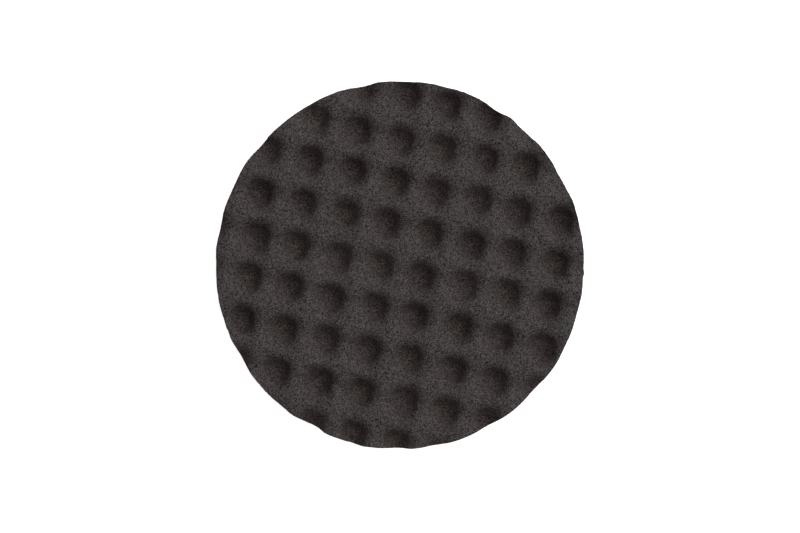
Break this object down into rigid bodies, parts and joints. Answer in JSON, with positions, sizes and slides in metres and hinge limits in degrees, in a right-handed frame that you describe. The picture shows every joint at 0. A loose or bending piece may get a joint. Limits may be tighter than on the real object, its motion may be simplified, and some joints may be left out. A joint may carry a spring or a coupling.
{
  "type": "polishing pad",
  "caption": "Round foam pad for a polishing machine, with a waffle working face of deep pockets and a looped cloth back that grips a hook-faced plate.",
  "frame": {"origin": "centre of the loop face, which the backing plate grips and the pad lies on", "axes": "+Z through the pad from the loop face to the waffle face; +X and +Y lie in the loop face, and the rows of pockets run 13.4 degrees clockwise of +X seen from +Z"},
  "size_m": [0.15, 0.15, 0.025],
  "materials": {
    "open_cell_foam": "dry, matte, open-celled",
    "laminating_film": "cloudy, dull",
    "backing_knit": "matte knit",
    "loop_yarn": "soft brushed loops with a slight sheen"
  },
  "bodies": {
    "root": {"foam_disc": "open_cell_foam", "adhesive_film": "laminating_film", "backing_cloth": "backing_knit", "loop_pile": "loop_yarn"}
  },
  "joints": []
}
